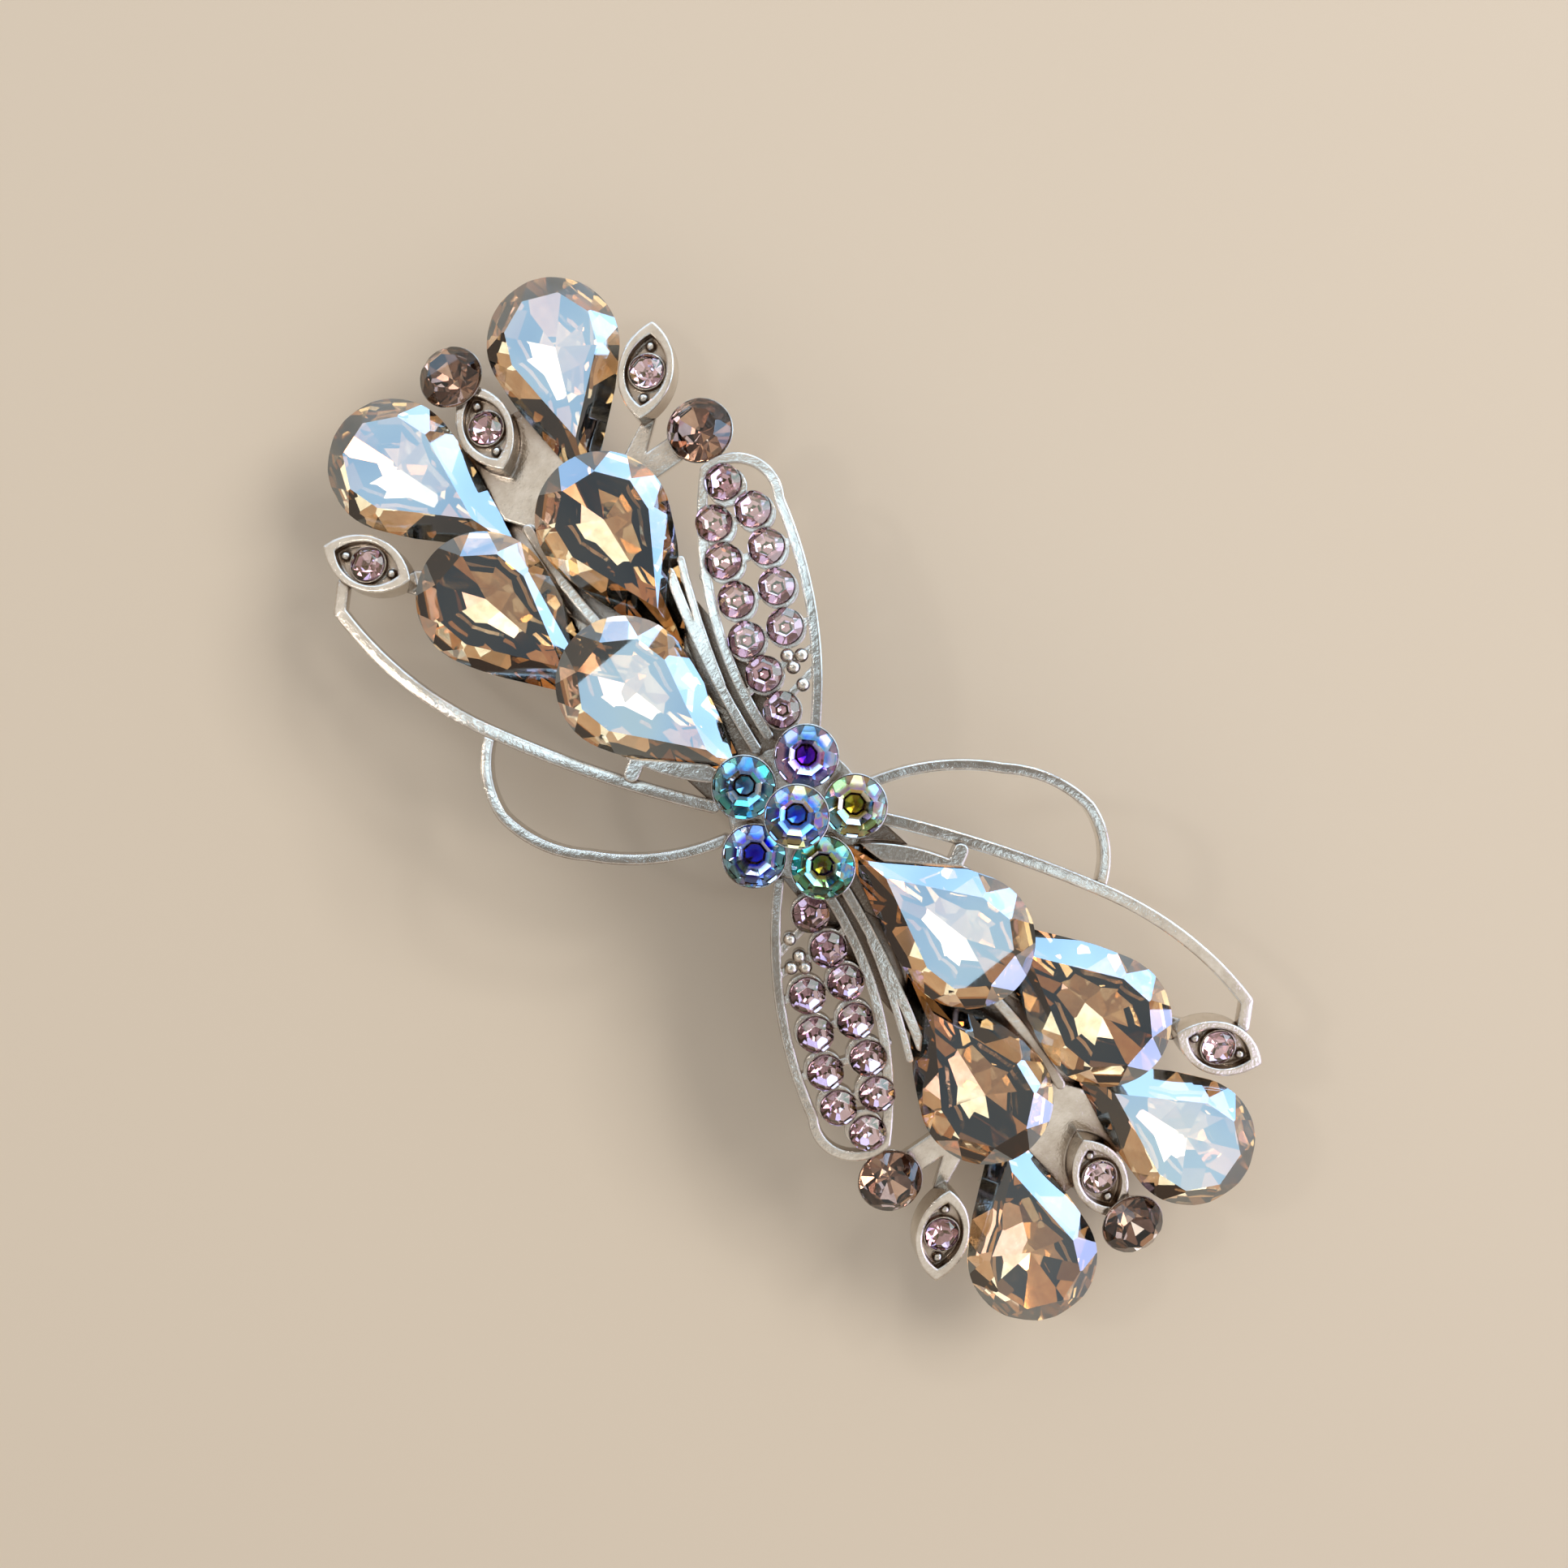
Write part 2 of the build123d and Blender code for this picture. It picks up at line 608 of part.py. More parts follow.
with BuildPart() as clasp_rivet:
    with BuildSketch(Plane.XY.offset(clasp_rivet_foot)):
        with Locations((clasp_middle, 0)):
            Circle(CLASP_RIVET_HEAD_RADIUS)
    extrude(amount=CLASP_RIVET_HEAD)
    with BuildSketch(Plane.XY.offset(clasp_rivet_foot)):
        with Locations((clasp_middle, 0)):
            Circle(CLASP_RIVET_RADIUS)
    extrude(amount=CLASP_RIVET_LENGTH)
save(clasp_rivet, "clasp_rivet")

with BuildPart() as clasp_room:
    with BuildSketch():
        with Locations((clasp_middle, 0)):
            Rectangle(clasp_length + 1, BAR_WIDTH - 2 * CLASP_SHEET)
    extrude(amount=20)
    add(below_web, mode=Mode.INTERSECT)

with BuildPart() as clasp_web:
    with BuildSketch(Plane.XY.offset(FLANGE_BOTTOM)):
        with Locations((clasp_middle, 0)):
            Rectangle(clasp_length, BAR_WIDTH)
    extrude(amount=20)
    add(below_bar, mode=Mode.INTERSECT)
    add(clasp_room.part, mode=Mode.SUBTRACT)
    add(clasp_rivet.part, mode=Mode.SUBTRACT)
save(clasp_web, "clasp_web")

cheek_inner = BAR_WIDTH / 2 + CHEEK_GAP
cheek_outer = cheek_inner + CLASP_SHEET
for side, sign in (("back", 1), ("front", -1)):
    section = [
        (HOOK_REACH, CHEEK_BOTTOM),
        (HOOK_REACH, HOOK_TOP - 0.2),
        (cheek_inner, HOOK_TOP),
        (cheek_inner, FLANGE_BOTTOM + 0.1),
        *CHEEK_EAR,
        (cheek_outer, FLANGE_BOTTOM - 0.2),
        (cheek_outer, CHEEK_BOTTOM),
    ]
    with BuildPart() as cheek:
        with BuildSketch(Plane.YZ.offset(CLASP_START + CHEEK_INSET)):
            with BuildLine():
                Polyline(*[(sign * out, height) for out, height in section], close=True)
            make_face()
            with Locations((sign * (cheek_inner + cheek_outer) / 2, FLANGE_BOTTOM)):
                Circle(CHEEK_BEAD)
        extrude(amount=clasp_length - 2 * CHEEK_INSET)
    save(cheek, f"clasp_cheek_{side}")

# ---------------------------------------------------------------- base bar with its hinge ears
with BuildPart() as hinge_pin:
    with BuildSketch(Plane.XZ):
        with Locations((HINGE_X, HINGE_Z)):
            Circle(PIN_RADIUS)
    extrude(amount=EAR_INNER + EAR_THICKNESS + 2 * PIN_FIT, both=True)
    for sign in (1, -1):
        with BuildSketch(Plane.XZ.offset(sign * (EAR_INNER + EAR_THICKNESS + PIN_FIT))):
            with Locations((HINGE_X, HINGE_Z)):
                Circle(PIN_HEAD_RADIUS)
        extrude(amount=sign * PIN_HEAD)
save(hinge_pin, "hinge_pin")

with BuildPart() as base_bar:
    with BuildSketch():
        RectangleRounded(2 * BAR_HALF_LENGTH, BAR_WIDTH, 1.5)
    extrude(amount=20)
    add(bar_layer, mode=Mode.INTERSECT)
    for inner_face in (EAR_INNER, -EAR_INNER - EAR_THICKNESS):
        with BuildSketch(Plane.XZ.offset(inner_face)):
            with Locations((HINGE_X, HINGE_Z)):
                Circle(EAR_RADIUS)
            with Locations((HINGE_X, (HINGE_Z + EAR_TOP) / 2)):
                Rectangle(2 * EAR_RADIUS, EAR_TOP - HINGE_Z)
            with Locations((HINGE_X, HINGE_Z)):
                Circle(PIN_RADIUS + PIN_FIT, mode=Mode.SUBTRACT)
        extrude(amount=EAR_THICKNESS)
    add(bow_rivets.part, mode=Mode.SUBTRACT)
    add(clasp_rivet.part, mode=Mode.SUBTRACT)
save(base_bar, "base_bar")

# ---------------------------------------------------------------- locking arm
with BuildPart() as locking_arm:
    with BuildSketch():
        with Locations(((ARM_START + ARM_END) / 2, 0)):
            RectangleRounded(ARM_END - ARM_START, ARM_WIDTH, 1.0)
        with Locations(((HINGE_X + ARM_START + 3) / 2, 0)):
            Rectangle(ARM_START + 3 - HINGE_X, 2 * BARREL_HALF_WIDTH)
    extrude(amount=ARM_THICKNESS)
    with BuildSketch(Plane.XY.offset(ARM_THICKNESS)):
        with Locations(((ARM_START + ARM_END) / 2, 0)):
            Rectangle(ARM_END - ARM_START - 3, ARM_WIDTH)
            Rectangle(ARM_END - ARM_START - 3, ARM_WIDTH - 2 * ARM_LIP, mode=Mode.SUBTRACT)
    extrude(amount=ARM_LIP_TOP - ARM_THICKNESS)
    with BuildSketch():
        with Locations(((ARM_START + ARM_END) / 2, 0)):
            SlotOverall(WINDOW_LENGTH, WINDOW_WIDTH)
    extrude(amount=ARM_THICKNESS, mode=Mode.SUBTRACT)
    with BuildSketch(Plane.XZ):
        with BuildLine():
            Polyline(
                (ARM_END - 2, 0),
                (ARM_END, 0),
                (HEAD_START - 0.6, HEAD_BOTTOM),
                (HEAD_START + 0.5, HEAD_BOTTOM),
                (HEAD_START + 0.5, HEAD_BOTTOM + ARM_THICKNESS),
                (HEAD_START - 0.9, HEAD_BOTTOM + ARM_THICKNESS),
                (ARM_END - 0.4, ARM_THICKNESS),
                (ARM_END - 2, ARM_THICKNESS),
                close=True,
            )
        make_face()
    extrude(amount=NECK_WIDTH / 2, both=True)
    with BuildSketch(Plane.XY.offset(HEAD_BOTTOM)):
        with Locations(((HEAD_START + HEAD_END) / 2, 0)):
            RectangleRounded(HEAD_END - HEAD_START, HEAD_WIDTH, 1.2)
    extrude(amount=ARM_THICKNESS)
    with BuildSketch(Plane.XZ):
        with Locations((HINGE_X, HINGE_Z)):
            Circle(BARREL_RADIUS)
        with BuildLine():
            Polyline(
                (HINGE_X, 0),
                (HINGE_X + 2.6, 0),
                (HINGE_X + 2.6, ARM_THICKNESS),
                (HINGE_X + 1.1, HINGE_Z + 0.5),
                (HINGE_X, HINGE_Z + 0.5),
                close=True,
            )
        make_face()
    extrude(amount=BARREL_HALF_WIDTH, both=True)
    with BuildSketch(Plane.XZ):
        with Locations((HINGE_X, HINGE_Z)):
            Circle(PIN_RADIUS + PIN_CLEARANCE)
    extrude(amount=BARREL_HALF_WIDTH, both=True, mode=Mode.SUBTRACT)
save(locking_arm, "locking_arm")
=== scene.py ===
"""Looks for the rhinestone hair clip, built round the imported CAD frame. Units are metres."""

import json
import math

import bmesh
import bpy
from mathutils import Matrix, Vector


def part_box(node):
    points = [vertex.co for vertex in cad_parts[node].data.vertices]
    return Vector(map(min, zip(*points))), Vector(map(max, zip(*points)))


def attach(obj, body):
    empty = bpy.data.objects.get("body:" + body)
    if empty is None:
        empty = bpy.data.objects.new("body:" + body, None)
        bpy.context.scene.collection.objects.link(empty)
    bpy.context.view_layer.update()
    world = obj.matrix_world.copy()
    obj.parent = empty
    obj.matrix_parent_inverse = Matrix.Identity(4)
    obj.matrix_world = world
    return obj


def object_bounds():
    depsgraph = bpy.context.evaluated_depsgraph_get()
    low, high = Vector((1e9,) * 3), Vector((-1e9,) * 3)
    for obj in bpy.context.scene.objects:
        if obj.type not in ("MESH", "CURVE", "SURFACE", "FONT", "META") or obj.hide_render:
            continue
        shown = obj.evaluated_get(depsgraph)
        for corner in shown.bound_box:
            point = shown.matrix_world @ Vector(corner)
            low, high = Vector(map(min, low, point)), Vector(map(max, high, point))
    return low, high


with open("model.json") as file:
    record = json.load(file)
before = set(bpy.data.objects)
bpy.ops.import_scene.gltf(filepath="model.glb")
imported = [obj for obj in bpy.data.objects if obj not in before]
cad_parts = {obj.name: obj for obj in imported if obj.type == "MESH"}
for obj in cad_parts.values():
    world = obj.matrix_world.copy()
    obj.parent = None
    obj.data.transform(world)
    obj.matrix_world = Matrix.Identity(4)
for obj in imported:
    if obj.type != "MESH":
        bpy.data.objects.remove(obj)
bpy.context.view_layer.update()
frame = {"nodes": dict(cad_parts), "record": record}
nodes = frame["nodes"]

MM = 0.001

# Noise scales, in features per metre.
CLOUD = 900  # drift of a colour across a piece
WAVES = 1700  # soft unevenness of a cast surface
POLISH = 2500
WEAR = 5200
FOIL_CLOUD = 1400

# The record's finish for each metal: light and dark tone, roughness, depth of the fine pits and their
# scale, width of the softened edges, and depth of the soft waves.
METALS = {
    "cast_alloy": ((0.84, 0.79, 0.72), (0.68, 0.62, 0.54), (0.05, 0.12), 0.14, 6500, 0.22 * MM, 0.10),
    "clip_steel": ((0.80, 0.79, 0.77), (0.72, 0.71, 0.69), (0.16, 0.30), 0.15, 7000, 0.10 * MM, 0.04),
    "spring_steel": ((0.72, 0.72, 0.73), (0.62, 0.62, 0.63), (0.20, 0.34), 0.15, 7000, 0.10 * MM, 0.03),
    "pin_steel": ((0.82, 0.80, 0.77), (0.74, 0.72, 0.69), (0.12, 0.22), 0.12, 7000, 0.10 * MM, 0.03),
}
# Painted shade: the dark brown that the metal's colour turns to in its hollows, by ambient occlusion.
PAINTED_SHADE_BROWN = (0.20, 0.13, 0.08)
PAINTED_SHADE_REACH = 2.4 * MM  # how far apart the walls of a hollow can be for painted shade to fill it

GLASS_IOR = 1.56
FOIL_LEAN = -0.2  # facets that face further down than this carry foil
# Lighter and darker foils take turns by direction round a stone: painted highlights and painted shade on
# its facets.
FOIL_TURNS = 16  # directions round a stone that are told apart
FOIL_STEP = 7  # foils passed over from one direction to the next
TABLE_LEAN = 0.97  # facets that face further up than this are the table
# Reach of the painted dark reflection round a flower stone's lowest point.
PAINTED_CENTRE_REACH = 1.25 * MM

# WHITE is clear glass on the flower's crowns and a painted highlight on its foils.
WHITE = (1.0, 1.0, 1.0)
CYAN = (0.40, 0.88, 1.0)
TEAL = (0.16, 0.82, 0.72)
PINK = (0.98, 0.56, 0.82)
GOLD = (1.0, 0.76, 0.32)
PALE_GREEN = (0.66, 0.92, 0.38)
PALE_BLUE = (0.42, 0.62, 1.0)
PALE_VIOLET = (0.60, 0.50, 1.0)
# Painted dark reflection, given to some of the flower's foils.
PAINTED_DARK_REFLECTION = (0.24, 0.34, 0.66)
# For each stone of the flower: its film's thickness in nanometres, its foils' colours, and the colour
# round its lowest point.
# The foils' hues give each stone its colour; as they take turns facet by facet, the white ones are
# painted highlights and the night-blue ones painted dark reflections. The colour round the lowest point
# is a painted dark reflection at the stone's centre.
FLOWER_LOOKS = {
    "flower_centre_stone": ((130, 330), (CYAN, PINK, WHITE, GOLD, PAINTED_DARK_REFLECTION), (0.03, 0.14, 0.72)),
    "petal_stone_1": ((260, 330), (WHITE, PALE_GREEN, GOLD, WHITE, CYAN), (0.26, 0.21, 0.02)),
    "petal_stone_2": ((190, 250), (WHITE, PALE_VIOLET, PAINTED_DARK_REFLECTION, WHITE, PINK), (0.08, 0.01, 0.46)),
    "petal_stone_3": ((128, 220), (CYAN, WHITE, PAINTED_DARK_REFLECTION, TEAL, WHITE), (0.12, 0.26, 0.42)),
    "petal_stone_4": ((120, 200), (WHITE, PALE_BLUE, PAINTED_DARK_REFLECTION, WHITE, CYAN), (0.01, 0.03, 0.58)),
    "petal_stone_5": ((136, 300), (TEAL, WHITE, PAINTED_DARK_REFLECTION, PALE_GREEN, CYAN), (0.24, 0.20, 0.03)),
}

WIRE_ROUND = {"outer_wire": 0.30 * MM, "small_loop": 0.22 * MM}  # radius on each kind of wire's edges

# Cast beads: places from the wing's corner, in millimetres across and along it.
BEADS = ((4.45, 6.33), (5.2, 6.18), (4.7, 5.53), (3.3, 6.53))
BEAD_RADIUS = 0.42 * MM
BEAD_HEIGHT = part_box("wing_stones_right_inner_row")[1].z - 0.85 * MM

# The picture's right and up, seen from above.
RIGHT = Vector((0.6265, 0.7795, 0))
UP = Vector((-0.7795, 0.6265, 0))
MIDDLE = Vector((0, 0, 0.010))

SKY_BLUE = (0.44, 0.69, 1.0)
LAVENDER = (0.62, 0.64, 1.0)
PANEL_BLUE = (0.58, 0.81, 1.0)
KEY_WARM = (1.0, 0.95, 0.88)
LAMP_WARM = (1.0, 0.97, 0.92)
# Windows stand round the picture's right and upper side: bearing from its right, power and colour.
WINDOWS = ((-25, 0.75, LAVENDER), (25, 0.95, SKY_BLUE), (75, 0.85, SKY_BLUE), (115, 0.55, SKY_BLUE))
WINDOW_REACH = 0.36
WINDOW_RISE = 0.10
# Panels overhead: how far right, up and high, and how wide.
PANELS = {
    "near_panel": (0.001, -0.011, 0.160, 0.020),
    "up_panel": (-0.100, 0.105, 0.400, 0.120),
    "low_panel": (0.135, -0.135, 0.400, 0.070),
}
PANEL_RADIANCE = 2.4
# Small lamps that give the metal and the facets their sparkle: how far right and up.
LAMPS = {"glint_right": (0.20, 0.28), "glint_left": (-0.26, 0.10)}
LAMP_RISE = 0.36

# The room's tone by height, from the horizon and below to straight up.
ROOM = (
    (0.0, (0.20, 0.12, 0.08)),
    (1.0, (0.26, 0.25, 0.24)),
    (0.25, (0.42, 0.33, 0.26)),
    (0.78, (1.0, 0.95, 0.88)),
    (0.92, (0.36, 0.33, 0.30)),
)
ROOM_STRENGTH = 0.9
BACKDROP = (0.80, 0.76, 0.71)
FLOOR = (0.68, 0.60, 0.50)
FLOOR_SIDE = 1.6
FLOOR_DROP = 0.0001  # keeps the floor just clear of the clip

CAMERA_AIM = RIGHT * (-0.72 * MM) + UP * (1.4 * MM) + Vector((0, 0, 8 * MM))
CAMERA_TILT = math.radians(3.5)
CAMERA_REACH = 133 * MM
CAMERA_LENS = 50.3


# ---------------------------------------------------------------- materials
def new_material(name):
    material = bpy.data.materials.new(name)
    material.use_nodes = True
    tree = material.node_tree
    shader = tree.nodes["Principled BSDF"]
    return material, tree, shader


def noise(tree, scale, detail=4.0, roughness=0.55):
    """Noise in object space, scale in features per metre."""
    place = tree.nodes.new("ShaderNodeTexCoord")
    made = tree.nodes.new("ShaderNodeTexNoise")
    made.inputs["Scale"].default_value = scale
    made.inputs["Detail"].default_value = detail
    made.inputs["Roughness"].default_value = roughness
    tree.links.new(place.outputs["Object"], made.inputs["Vector"])
    return made


def spread(tree, source, low=0.0, high=1.0):
    """Maps the middle of a noise's range, 0.3 to 0.7, onto low to high."""
    mapped = tree.nodes.new("ShaderNodeMapRange")
    mapped.inputs["From Min"].default_value = 0.3
    mapped.inputs["From Max"].default_value = 0.7
    mapped.inputs["To Min"].default_value = low
    mapped.inputs["To Max"].default_value = high
    tree.links.new(source, mapped.inputs["Value"])
    return mapped.outputs["Result"]


def blend_colours(tree, source, first, second):
    """Mixes from first to second; second may be a colour or another node's output."""
    mix = tree.nodes.new("ShaderNodeMix")
    mix.data_type = "RGBA"
    mix.inputs["A"].default_value = (*first, 1)
    if isinstance(second, bpy.types.NodeSocket):
        tree.links.new(second, mix.inputs["B"])
    else:
        mix.inputs["B"].default_value = (*second, 1)
    tree.links.new(source, mix.inputs["Factor"])
    return mix.outputs["Result"]


def cloudy_colour(tree, scale, detail, light, dark):
    cloud = noise(tree, scale, detail)
    return blend_colours(tree, spread(tree, cloud.outputs["Fac"]), light, dark)


def metal(name, light, dark, rough, pits, grain, edge, waves):
    """Plated or bare metal: cloudy colour with painted shade, dark brown, in its hollows; uneven polish,
    soft waves, fine pits and bevelled edges.
    """
    material, tree, shader = new_material(name)
    shader.inputs["Metallic"].default_value = 1.0
    unshaded_colour = cloudy_colour(tree, CLOUD, 3, light, dark)
    # Painted shade: ambient occlusion mixes the colour towards dark brown in hollows and crevices.
    hollow = tree.nodes.new("ShaderNodeAmbientOcclusion")
    hollow.samples = 6
    hollow.inputs["Distance"].default_value = PAINTED_SHADE_REACH
    openness = tree.nodes.new("ShaderNodeMapRange")
    openness.inputs["From Min"].default_value = 0.15
    openness.inputs["From Max"].default_value = 0.90
    tree.links.new(hollow.outputs["AO"], openness.inputs["Value"])
    shaded_colour = blend_colours(tree, openness.outputs["Result"], PAINTED_SHADE_BROWN, unshaded_colour)
    tree.links.new(shaded_colour, shader.inputs["Base Color"])
    polish = noise(tree, POLISH)
    tree.links.new(spread(tree, polish.outputs["Fac"], *rough), shader.inputs["Roughness"])
    soft = tree.nodes.new("ShaderNodeBevel")
    soft.samples = 6
    soft.inputs["Radius"].default_value = edge
    normal = soft.outputs["Normal"]
    for scale, strength, depth in ((WAVES, waves, 0.3 * MM), (grain, pits, 0.08 * MM)):
        height = noise(tree, scale, 4, 0.6)
        relief = tree.nodes.new("ShaderNodeBump")
        relief.inputs["Strength"].default_value = strength
        relief.inputs["Distance"].default_value = depth
        tree.links.new(height.outputs["Fac"], relief.inputs["Height"])
        tree.links.new(normal, relief.inputs["Normal"])
        normal = relief.outputs["Normal"]
    tree.links.new(normal, shader.inputs["Normal"])
    return material


def crown_glass(name, light, dark, film, film_index, film_scale=160):
    """Clear coated glass. Its body colour drifts a little, and so does the film's thickness."""
    material, tree, shader = new_material(name)
    shader.inputs["Transmission Weight"].default_value = 1.0
    shader.inputs["IOR"].default_value = GLASS_IOR
    shader.inputs["Thin Film IOR"].default_value = film_index
    tree.links.new(cloudy_colour(tree, CLOUD, 2, light, dark), shader.inputs["Base Color"])
    drift = noise(tree, film_scale, 1)
    tree.links.new(spread(tree, drift.outputs["Fac"], *film), shader.inputs["Thin Film Thickness"])
    wear = noise(tree, WEAR, 6, 0.7)
    tree.links.new(spread(tree, wear.outputs["Fac"], 0.0, 0.03), shader.inputs["Roughness"])
    return material


def foil(name, light, dark, painted_centre=None):
    """Mirror foil on a stone's back. The optional last argument is the stone's lowest point and a colour
    painted round it: a painted dark reflection at the stone's centre.
    """
    material, tree, shader = new_material(name)
    shader.inputs["Metallic"].default_value = 1.0
    shader.inputs["Roughness"].default_value = 0.02
    colour = cloudy_colour(tree, FOIL_CLOUD, 3, light, dark)
    # Painted dark reflection: near the stone's lowest point the foil takes the given dark colour.
    if painted_centre:
        point, painted_centre_colour = painted_centre
        place = tree.nodes.new("ShaderNodeTexCoord")
        away = tree.nodes.new("ShaderNodeVectorMath")
        away.operation = "DISTANCE"
        away.inputs[1].default_value = point
        tree.links.new(place.outputs["Object"], away.inputs[0])
        outside = tree.nodes.new("ShaderNodeMapRange")
        outside.inputs["From Min"].default_value = 0.6 * PAINTED_CENTRE_REACH
        outside.inputs["From Max"].default_value = PAINTED_CENTRE_REACH
        tree.links.new(away.outputs["Value"], outside.inputs["Value"])
        colour = blend_colours(tree, outside.outputs["Result"], painted_centre_colour, colour)
    tree.links.new(colour, shader.inputs["Base Color"])
    return material


champagne_crown = crown_glass("champagne_crown", (0.98, 0.86, 0.68), (0.93, 0.76, 0.55), (34, 54), 2.4)
champagne_foil = foil("champagne_foil", (0.92, 0.74, 0.52), (0.82, 0.58, 0.36))
smoky_crown = crown_glass("smoky_crown", (0.72, 0.58, 0.50), (0.60, 0.46, 0.40), (70, 100), 1.6)
# Lit and shaded copies of one foil, from bright to dark: painted highlights and painted shade on the
# smoky stones' facets.
smoky_foils_lit_and_shaded = [
    foil("smoky_foil_painted_highlight", (0.98, 0.86, 0.72), (0.90, 0.74, 0.60)),
    foil("smoky_foil_painted_shade", (0.30, 0.22, 0.20), (0.22, 0.16, 0.14)),
    foil("smoky_foil", (0.66, 0.54, 0.50), (0.54, 0.44, 0.42)),
    foil("smoky_foil_deep_painted_shade", (0.40, 0.28, 0.22), (0.30, 0.20, 0.16)),
]
lilac_crown = crown_glass("lilac_crown", (0.94, 0.82, 0.86), (0.86, 0.72, 0.76), (95, 120), 1.8)
# Lit and shaded copies of one foil: painted highlights and painted shade on the lilac stones' facets.
lilac_foils_lit_and_shaded = [
    foil("lilac_foil", (0.96, 0.88, 0.91), (0.86, 0.76, 0.80)),
    foil("lilac_foil_painted_shade", (0.50, 0.36, 0.40), (0.40, 0.28, 0.32)),
    foil("lilac_foil_rose", (0.84, 0.68, 0.72), (0.74, 0.58, 0.62)),
]


# ---------------------------------------------------------------- stones
def dress_stone(name, crown, backs):
    """Glass above the girdle and foil below it; where a stone has lighter and darker foils, they take
    turns round the stone facet by facet, painting highlights and shade on its facets.
    """
    mesh = nodes[name].data
    mesh.materials.clear()
    for material in (crown, *backs):
        mesh.materials.append(material)
    for face in mesh.polygons:
        face.use_smooth = False
        face.material_index = 0
        if face.normal.z < FOIL_LEAN:
            turn = math.atan2(face.normal.y, face.normal.x) / math.tau
            direction = int((turn + 1) * FOIL_TURNS + 0.5) % FOIL_TURNS
            face.material_index = 1 + direction * FOIL_STEP % len(backs)


for name in nodes:
    if name.startswith("teardrop"):
        dress_stone(name, champagne_crown, [champagne_foil])
    elif name.startswith("smoky"):
        dress_stone(name, smoky_crown, smoky_foils_lit_and_shaded)
    elif name.startswith(("leaf_stone", "wing_stones")):
        dress_stone(name, lilac_crown, lilac_foils_lit_and_shaded)

flower_table = crown_glass("flower_table", WHITE, (0.94, 0.96, 1.0), (85, 105), 1.3)
for name, (film, colours, painted_centre_colour) in FLOWER_LOOKS.items():
    crown = crown_glass(f"{name}_crown", WHITE, (0.94, 0.98, 1.0), film, 1.8, 1500)
    low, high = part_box(name)
    lowest = ((low.x + high.x) / 2, (low.y + high.y) / 2, low.z)
    backs = [
        foil(f"{name}_foil_{i}", colour, [0.86 * c for c in colour], (lowest, painted_centre_colour))
        for i, colour in enumerate(colours)
    ]
    dress_stone(name, crown, backs)
    mesh = nodes[name].data
    mesh.materials.append(flower_table)
    for face in mesh.polygons:
        if face.normal.z > TABLE_LEAN:
            face.material_index = len(mesh.materials) - 1


# ---------------------------------------------------------------- metal
finishes = {slot: metal(slot, *look) for slot, look in METALS.items()}
for part in frame["record"]["subparts"]:
    if part["material_slot"] in finishes:
        mesh = nodes[part["node"]].data
        mesh.materials.clear()
        mesh.materials.append(finishes[part["material_slot"]])


def round_edges(name, width):
    """Rounds a node's long edges, as on drawn and polished wire."""
    made = nodes[name]
    join = made.modifiers.new("join", "WELD")
    join.merge_threshold = 0.000002
    soft = made.modifiers.new("soft", "BEVEL")
    soft.width = width
    soft.segments = 4
    soft.limit_method = "ANGLE"
    soft.angle_limit = math.radians(40)
    for face in made.data.polygons:
        face.use_smooth = True


for name in nodes:
    for kind, width in WIRE_ROUND.items():
        if name.startswith(kind):
            round_edges(name, width)


# ---------------------------------------------------------------- cast beads on the wings
def wing_beads(name, wing, turned):
    """A few round beads where the wing meets the flower, placed from the wing's box."""
    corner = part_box(wing)[1 if turned else 0]
    sign = -1 if turned else 1
    mesh = bpy.data.meshes.new(name)
    shape = bmesh.new()
    for across, along in BEADS:
        x = corner.x + sign * across * MM
        y = corner.y + sign * along * MM
        place = Matrix.Translation((x, y, BEAD_HEIGHT))
        bmesh.ops.create_uvsphere(shape, u_segments=20, v_segments=12, radius=BEAD_RADIUS, matrix=place)
    for face in shape.faces:
        face.smooth = True
    shape.to_mesh(mesh)
    shape.free()
    mesh.materials.append(finishes["cast_alloy"])
    made = bpy.data.objects.new(name, mesh)
    bpy.context.scene.collection.objects.link(made)
    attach(made, "clip_base")


wing_beads("wing_beads_right", "wing_right", False)
wing_beads("wing_beads_left", "wing_left", True)

# ---------------------------------------------------------------- floor, light and camera
scene = bpy.context.scene
floor_material, floor_tree, floor_shader = new_material("floor")
floor_shader.inputs["Base Color"].default_value = (*FLOOR, 1)
floor_shader.inputs["Roughness"].default_value = 0.7
half = FLOOR_SIDE / 2
floor_mesh = bpy.data.meshes.new("floor")
corners = [(-half, -half, 0), (half, -half, 0), (half, half, 0), (-half, half, 0)]
floor_mesh.from_pydata(corners, [], [(0, 1, 2, 3)])
floor_mesh.materials.append(floor_material)
floor = bpy.data.objects.new("floor", floor_mesh)
floor.location = (0, 0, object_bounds()[0].z - FLOOR_DROP)
scene.collection.objects.link(floor)

world = bpy.data.worlds.new("studio")
world.use_nodes = True
scene.world = world
sky = world.node_tree
background = sky.nodes["Background"]
background.inputs["Strength"].default_value = ROOM_STRENGTH
heading = sky.nodes.new("ShaderNodeTexCoord")
split_heading = sky.nodes.new("ShaderNodeSeparateXYZ")
sky.links.new(heading.outputs["Generated"], split_heading.inputs["Vector"])
gradient = sky.nodes.new("ShaderNodeValToRGB")
stops = gradient.color_ramp.elements
for stop, (height, tone) in zip(stops, ROOM):
    stop.position = height
    stop.color = (*tone, 1)
for height, tone in ROOM[2:]:
    stops.new(height).color = (*tone, 1)
sky.links.new(split_heading.outputs["Z"], gradient.inputs["Fac"])
sky.links.new(gradient.outputs["Color"], background.inputs["Color"])
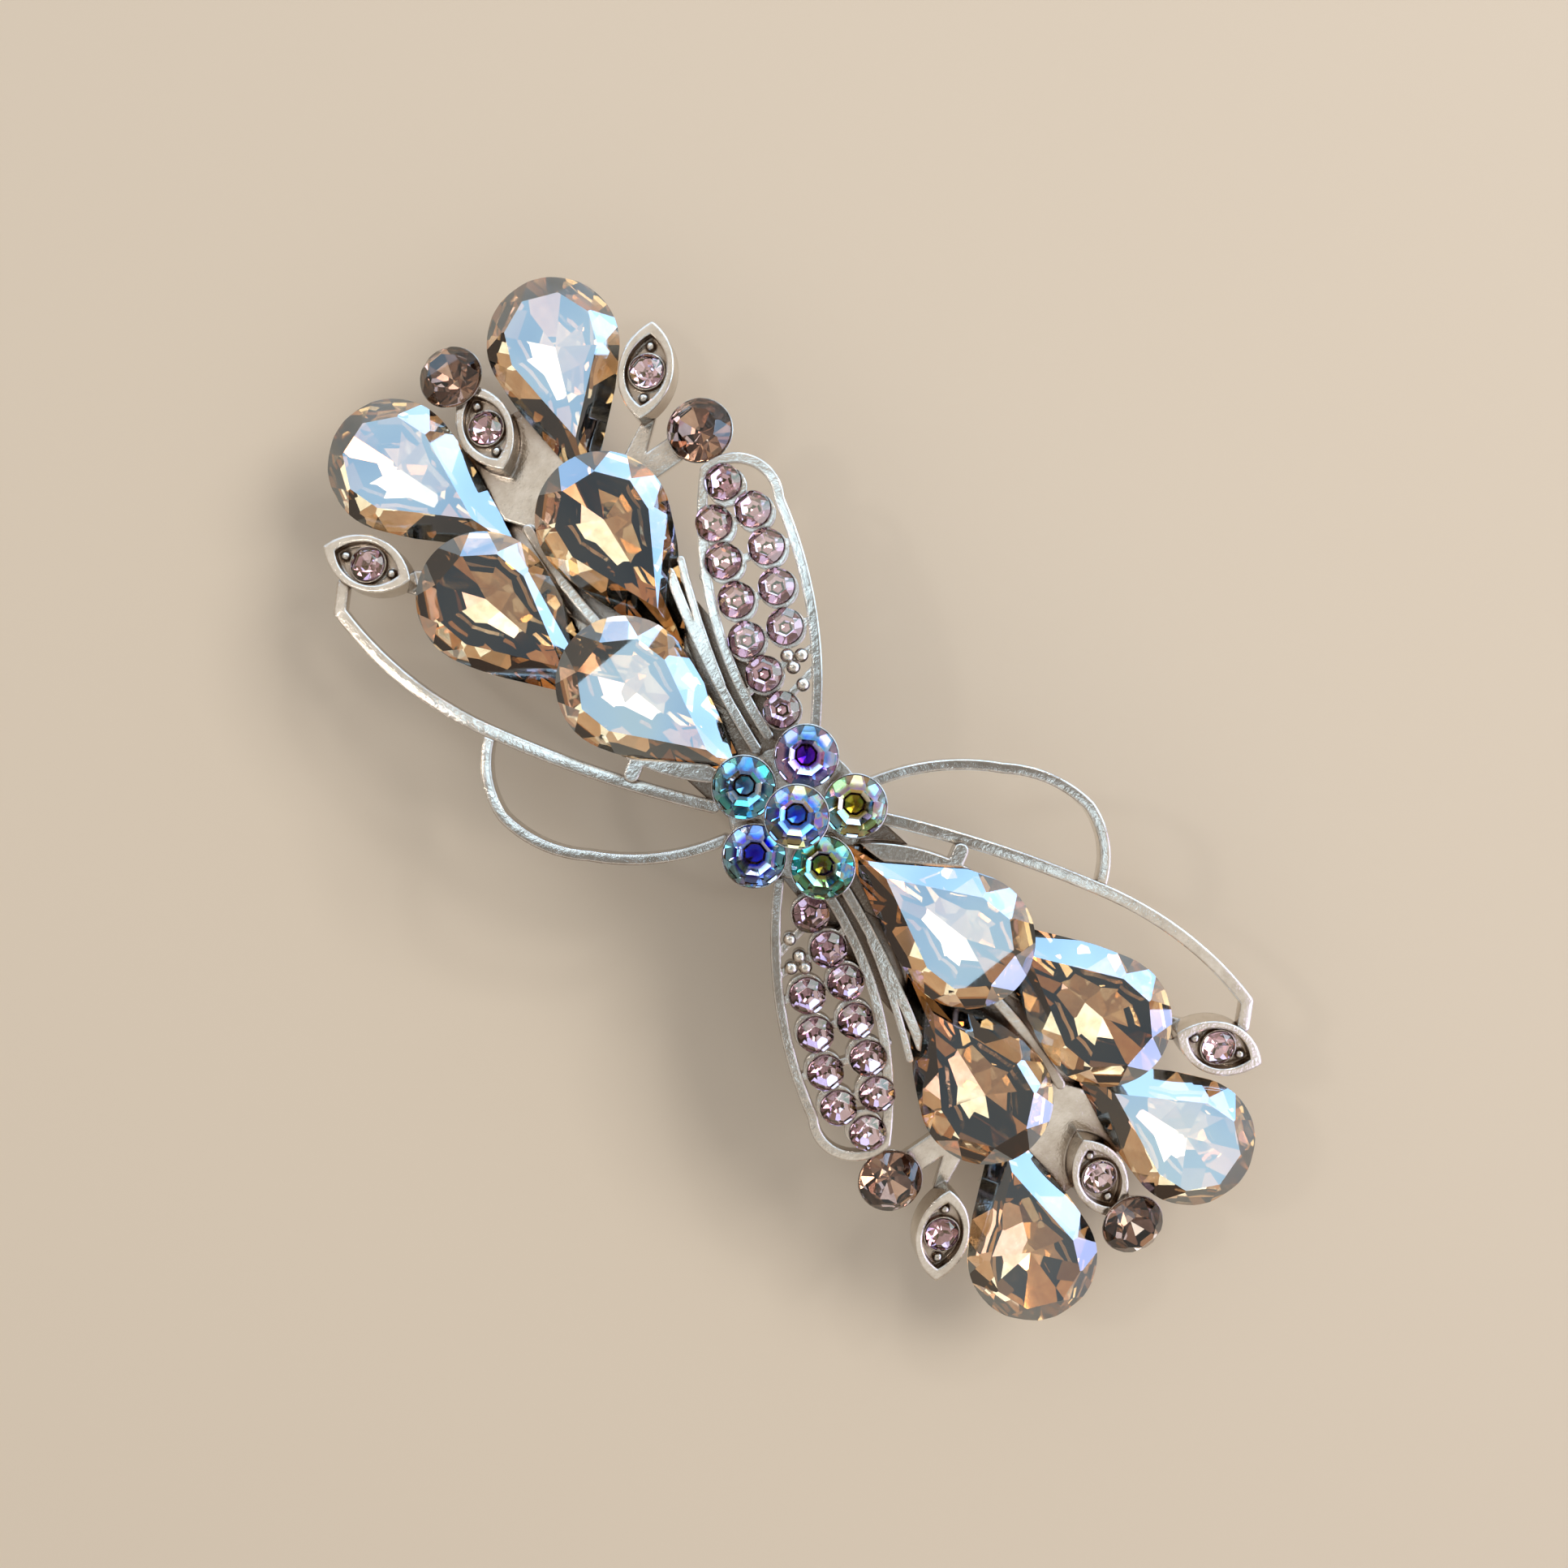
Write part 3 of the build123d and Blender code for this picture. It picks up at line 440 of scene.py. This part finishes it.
# Behind the clip stands something plain and pale.
backdrop = sky.nodes.new("ShaderNodeBackground")
backdrop.inputs["Color"].default_value = (*BACKDROP, 1)
ray = sky.nodes.new("ShaderNodeLightPath")
choice = sky.nodes.new("ShaderNodeMixShader")
sky.links.new(ray.outputs["Is Camera Ray"], choice.inputs["Fac"])
sky.links.new(background.outputs["Background"], choice.inputs[1])
sky.links.new(backdrop.outputs["Background"], choice.inputs[2])
sky.links.new(choice.outputs["Shader"], sky.nodes["World Output"].inputs["Surface"])


def soft_light(name, place, aim, width, height, watts, colour):
    data = bpy.data.lights.new(name, "AREA")
    data.shape = "RECTANGLE"
    data.size, data.size_y = width, height
    data.energy = watts
    data.color = colour
    made = bpy.data.objects.new(name, data)
    made.location = place
    made.rotation_mode = "QUATERNION"
    made.rotation_quaternion = (Vector(aim) - Vector(place)).to_track_quat("-Z", "Y")
    scene.collection.objects.link(made)
    return made


for bearing, watts, colour in WINDOWS:
    turn = math.radians(bearing)
    out = RIGHT * math.cos(turn) + UP * math.sin(turn)
    place = MIDDLE + out * WINDOW_REACH + Vector((0, 0, WINDOW_RISE))
    window = soft_light(f"window_{bearing % 360}", place, MIDDLE, 0.30, 0.24, watts, colour)
    window.visible_diffuse = False

key_place = MIDDLE + RIGHT * 0.30 + UP * 0.16 + Vector((0, 0, 0.40))
key = soft_light("key", key_place, MIDDLE, 0.22, 0.22, 1.2, KEY_WARM)
key.visible_glossy = False

for name, (right, up) in LAMPS.items():
    place = MIDDLE + RIGHT * right + UP * up + Vector((0, 0, LAMP_RISE))
    soft_light(name, place, MIDDLE, 0.035, 0.035, 0.11, LAMP_WARM)

for name, (right, up, height, width) in PANELS.items():
    place = RIGHT * right + UP * up + Vector((0, 0, height))
    watts = PANEL_RADIANCE * math.pi**2 * width**2 / 4
    soft_light(name, place, place - Vector((0, 0, 0.1)), width, width, watts, PANEL_BLUE)

camera_data = bpy.data.cameras.new("camera")
camera_data.lens = CAMERA_LENS
camera_data.sensor_width = 36
camera_data.clip_start = 0.005
camera_data.clip_end = 10
camera = bpy.data.objects.new("camera", camera_data)
lean = UP * math.sin(CAMERA_TILT) + Vector((0, 0, math.cos(CAMERA_TILT)))
camera.location = CAMERA_AIM + CAMERA_REACH * lean
back = (camera.location - CAMERA_AIM).normalized()
side = UP.cross(back).normalized()
top = back.cross(side)
camera.matrix_world = Matrix(
    (
        (side.x, top.x, back.x, camera.location.x),
        (side.y, top.y, back.y, camera.location.y),
        (side.z, top.z, back.z, camera.location.z),
        (0, 0, 0, 1),
    )
)
scene.collection.objects.link(camera)
scene.camera = camera
scene.view_settings.view_transform = "Standard"
